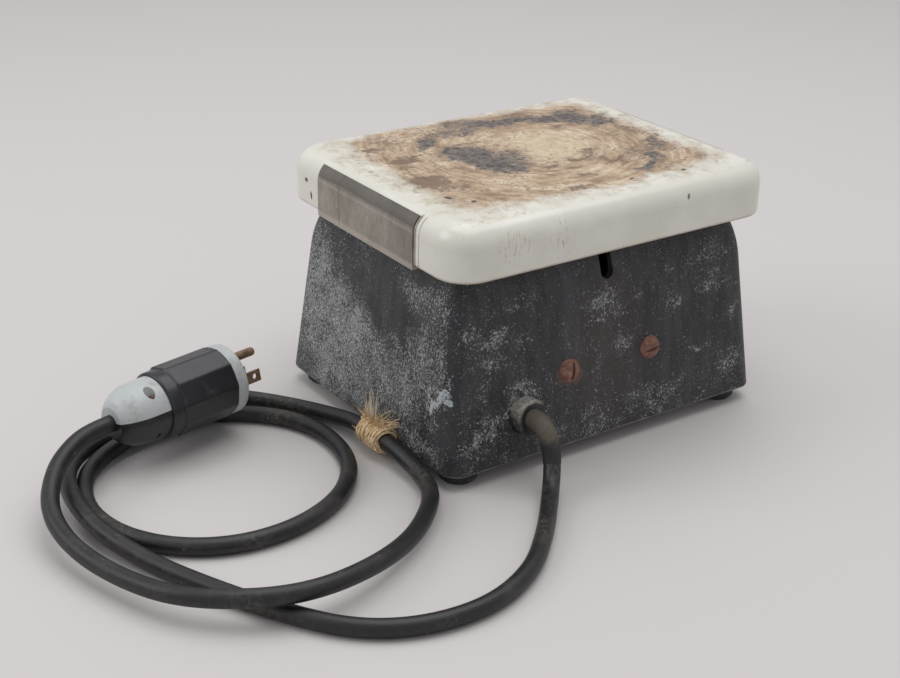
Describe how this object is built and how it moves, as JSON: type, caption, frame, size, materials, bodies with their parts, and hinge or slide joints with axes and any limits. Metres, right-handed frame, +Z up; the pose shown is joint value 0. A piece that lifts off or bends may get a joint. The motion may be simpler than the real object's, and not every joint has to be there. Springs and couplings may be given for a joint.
{
  "type": "hotplate magnetic stirrer",
  "caption": "Bench hotplate with a magnetic stirrer: white skirted top with steel end panels, tapered black casing, two knobs, supply cord and plug.",
  "frame": {"origin": "on the table under the middle of the stirrer's box, knobs and cord gland included, cord and plug left out", "axes": "+Z up, +X along the longer side to the end where the cord lies, -Y towards the knobs, +Y towards the back where the cord leaves"},
  "size_m": [0.3971, 0.2803, 0.1407],
  "materials": {
    "casing_paint": "worn charcoal paint with pale scuffs",
    "white_glaze": "cream-white glaze, burnt and chipped on top",
    "bare_steel": "dull stained sheet steel",
    "plain_aluminium": "plain",
    "screw_steel": "plated",
    "rusted_steel": "rusted",
    "plate_steel": "zinc plated",
    "core_steel": "laminated",
    "element_steel": "oxidised",
    "shaft_steel": "ground",
    "magnet_metal": "cast magnet alloy",
    "bearing_brass": "sintered",
    "prong_brass": "dulled brown",
    "insulation": "soft fibre",
    "refractory": "matt",
    "coil_tape": "varnished tape",
    "black_plastic": "moulded",
    "red_lens": "clear red",
    "gland_nylon": "worn, dusty on top",
    "cord_rubber": "matt jacket",
    "tie_twine": "frayed tan twine",
    "plug_white": "moulded",
    "plug_black": "moulded",
    "foot_rubber": "matt"
  },
  "bodies": {
    "housing": {"casing": "casing_paint", "top_cap": "white_glaze", "end_panel_right": "bare_steel", "end_panel_left": "bare_steel", "heater_pan": "plain_aluminium", "pan_screws": "screw_steel", "insulation_pad": "insulation", "heater_slab": "refractory", "heating_coil": "element_steel", "bottom_plate": "plate_steel", "foot_screws": "screw_steel", "back_screws": "rusted_steel", "back_nuts": "screw_steel", "motor_bracket": "plate_steel", "motor_stator": "core_steel", "motor_coil": "coil_tape", "motor_bridge_lower": "plate_steel", "motor_bridge_upper": "plate_steel", "bearing_lower": "bearing_brass", "bearing_upper": "bearing_brass", "motor_screws": "screw_steel", "motor_nuts": "screw_steel", "heat_switch": "black_plastic", "stir_rheostat": "black_plastic", "control_nuts": "screw_steel", "pilot_lens": "red_lens", "pilot_lamp": "black_plastic", "cord_gland": "gland_nylon", "supply_lead": "cord_rubber", "terminal_block": "black_plastic", "cord": "cord_rubber", "cord_tie": "tie_twine", "plug_nose": "plug_white", "plug_body": "plug_black", "plug_clamp_upper": "plug_white", "plug_clamp_lower": "plug_black", "plug_clamp_screws": "rusted_steel", "plug_blades": "prong_brass", "plug_ground_pin": "prong_brass", "foot_front_right": "foot_rubber", "foot_front_left": "foot_rubber", "foot_back_right": "foot_rubber", "foot_back_left": "foot_rubber"},
    "heat_control": {"heat_knob": "black_plastic", "heat_shaft": "shaft_steel"},
    "stir_control": {"stir_knob": "black_plastic", "stir_shaft": "shaft_steel"},
    "drive": {"motor_rotor": "core_steel", "motor_shaft": "shaft_steel", "cooling_fan": "plain_aluminium", "magnet_holder": "plain_aluminium", "bar_magnet": "magnet_metal"}
  },
  "joints": [
    {"name": "heat_turn", "type": "hinge", "parent": "housing", "child": "heat_control", "pos_m": [-0.048, -0.0836, 0.0493], "axis": [0, -0.9915, 0.1299], "range_deg": [-300, 0]},
    {"name": "stir_turn", "type": "hinge", "parent": "housing", "child": "stir_control", "pos_m": [0.048, -0.0836, 0.0493], "axis": [0, -0.9915, 0.1299], "range_deg": [-300, 0]},
    {"name": "magnet_spin", "type": "hinge", "parent": "housing", "child": "drive", "pos_m": [0, 0.00467, 0.06], "axis": [0, 0, 1], "continuous": true}
  ]
}
